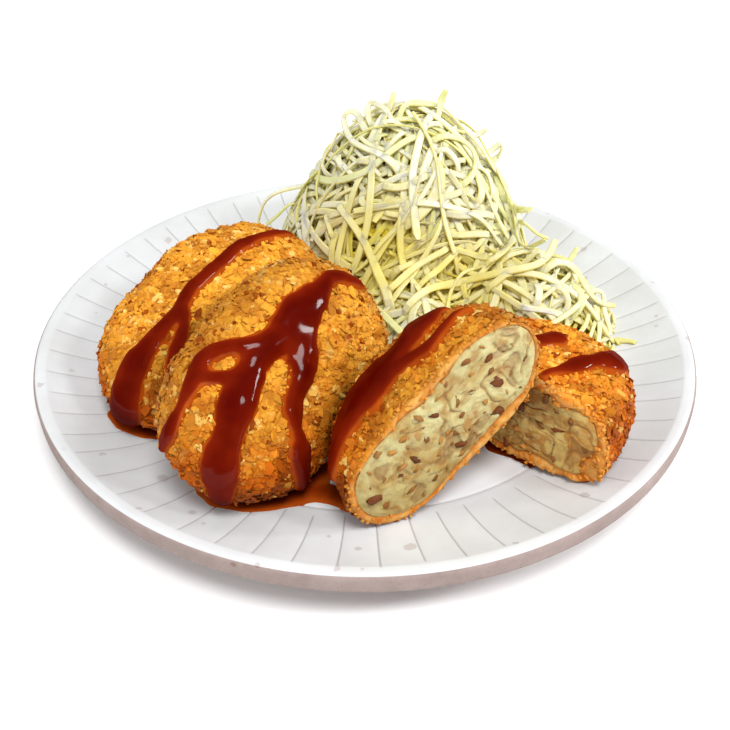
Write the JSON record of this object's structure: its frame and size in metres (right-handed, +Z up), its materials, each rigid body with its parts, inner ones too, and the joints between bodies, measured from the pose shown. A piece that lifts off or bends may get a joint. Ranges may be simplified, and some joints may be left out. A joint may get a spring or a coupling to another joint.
{
  "type": "plate of croquettes",
  "caption": "Breaded croquettes, whole and cut open, with thick brown sauce and a heap of shredded cabbage on a round ribbed stoneware plate that stands on a foot ring.",
  "frame": {"origin": "centre of the plate's foot ring, on the surface the plate stands on", "axes": "+Z up, +Y towards the back of the plate, where the cabbage is, +X to the right as seen from the front"},
  "size_m": [0.23, 0.23, 0.0832],
  "materials": {
    "stoneware": "pale grey satin glaze with thin radial grooves and taupe speckles",
    "fried_crumb": "golden fried breadcrumb flakes",
    "potato_filling": "mashed potato with mince",
    "cabbage": "raw shredded cabbage, moist",
    "sauce": "thick glossy brown sauce"
  },
  "bodies": {
    "root": {"plate": "stoneware", "croquette_left": "fried_crumb", "croquette_front": "fried_crumb", "half_front_coating": "fried_crumb", "half_front_filling": "potato_filling", "half_back_coating": "fried_crumb", "half_back_filling": "potato_filling", "cabbage_heap": "cabbage"}
  },
  "joints": []
}
